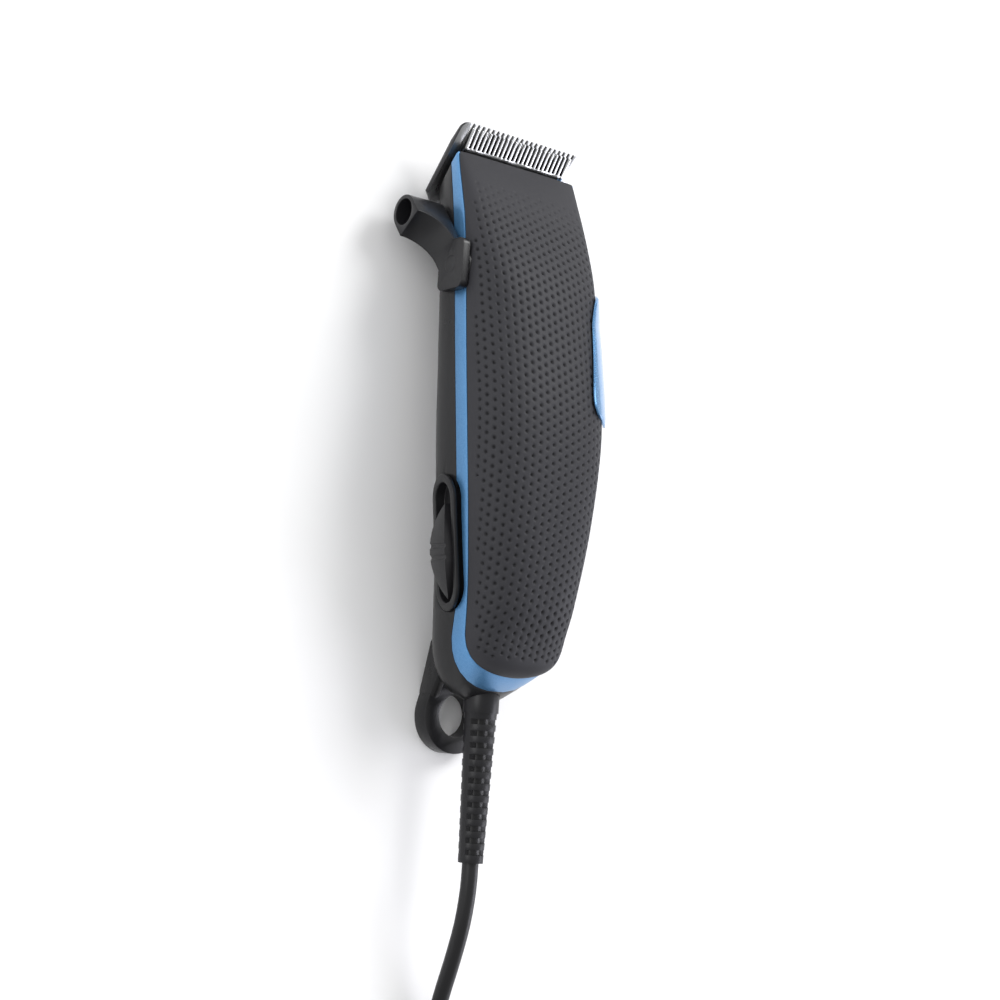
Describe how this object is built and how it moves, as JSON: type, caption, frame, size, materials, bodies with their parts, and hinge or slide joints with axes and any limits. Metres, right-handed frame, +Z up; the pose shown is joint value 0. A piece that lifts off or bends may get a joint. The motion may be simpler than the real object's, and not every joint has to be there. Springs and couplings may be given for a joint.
{
  "type": "hair clipper",
  "caption": "Corded hair clipper with a vibrator motor, slanted toothed blades, side taper lever, slide switch, hanging loop and mains cord with plug.",
  "frame": {"origin": "on the flat rest pad at the root of the hanging loop, on the clipper's middle plane, where its back meets the table", "axes": "+X across the clipper away from the taper lever, +Y along it from the cord to the blade tips, +Z up out of the front cover"},
  "size_m": [0.0679, 0.4921, 0.0468],
  "materials": {
    "soft_grey": "soft-touch dark grey with moulded dimples",
    "black_plastic": "satin black moulded ABS",
    "lever_black": "semi-gloss black moulded nylon",
    "band_blue": "satin metallic blue paint",
    "inlay_gloss": "glossy metallic blue, clear coated",
    "switch_black": "matt black",
    "cream_plastic": "natural acetal",
    "blade_steel": "ground and polished tool steel",
    "plain_steel": "plain turned steel",
    "bright_steel": "zinc plated steel",
    "spring_steel": "drawn spring steel",
    "lamination": "varnished silicon-steel laminations",
    "arm_alloy": "die-cast alloy",
    "copper_winding": "enamelled copper wire",
    "lead_insulation": "insulated lead",
    "cord_black": "black PVC, satin",
    "tie_black": "woven hook-and-loop strap",
    "pin_nickel": "nickel plated brass"
  },
  "bodies": {
    "housing": {"front_cover": "soft_grey", "rear_housing": "black_plastic", "side_band": "band_blue", "flank_inlay": "inlay_gloss", "switch_bezel": "black_plastic", "switch_block": "switch_black", "fixed_blade": "blade_steel", "blade_screws": "bright_steel", "blade_spring": "spring_steel", "stator_core": "lamination", "coil_bobbin": "cream_plastic", "coil_winding": "copper_winding", "core_screws": "bright_steel", "arm_anchor": "plain_steel", "anchor_screws": "bright_steel", "leaf_spring": "spring_steel", "return_spring_left": "spring_steel", "return_spring_right": "spring_steel", "housing_screws": "bright_steel", "lead_wires": "lead_insulation", "cord_clamp": "cream_plastic", "strain_relief": "cord_black", "cord_inner": "cord_black", "cord": "cord_black", "cord_hank": "cord_black", "cord_tie": "tie_black", "plug_body": "cord_black", "plug_pins": "pin_nickel"},
    "lever": {"taper_lever": "lever_black", "lever_shaft": "plain_steel", "lever_screw": "bright_steel"},
    "follower": {"taper_follower": "cream_plastic"},
    "cutter": {"moving_blade": "blade_steel", "blade_guide": "cream_plastic"},
    "arm": {"armature": "lamination", "drive_arm": "arm_alloy", "arm_rivets": "bright_steel", "drive_pin": "bright_steel"},
    "switch": {"switch_button": "black_plastic", "switch_carrier": "cream_plastic"},
    "adjuster": {"power_screw": "bright_steel"}
  },
  "joints": [
    {"name": "lever_pivot", "type": "hinge", "parent": "housing", "child": "lever", "pos_m": [-0.024, 0.1195, 0.02275], "axis": [-1, 0, 0], "range_deg": [0, 30]},
    {"name": "taper_slide", "type": "slide", "parent": "housing", "child": "follower", "axis": [0, -0.7604, -0.6494], "range_m": [0, 0.00135]},
    {"name": "blade_stroke", "type": "slide", "parent": "follower", "child": "cutter", "axis": [1, 0, 0], "range_m": [-0.00169, 0.00169]},
    {"name": "arm_swing", "type": "hinge", "parent": "housing", "child": "arm", "pos_m": [0.0119, 0.052, 0.026], "axis": [0, 0, 1], "range_deg": [-1, 1], "stiffness_Nm_per_rad": 1.2, "deforming": ["leaf_spring", "return_spring_left", "return_spring_right"]},
    {"name": "switch_slide", "type": "slide", "parent": "housing", "child": "switch", "axis": [-0.1305, 0.9914, 0], "range_m": [0, 0.005]},
    {"name": "power_turn", "type": "hinge", "parent": "housing", "child": "adjuster", "pos_m": [0.02, 0.109, 0.017], "axis": [1, 0, 0], "continuous": true}
  ],
  "couplings": [
    {"joint": "lever_pivot", "follows": "taper_slide", "rad_per_m": 389.04},
    {"joint": "blade_stroke", "follows": "arm_swing", "m_per_rad": -0.096881}
  ]
}
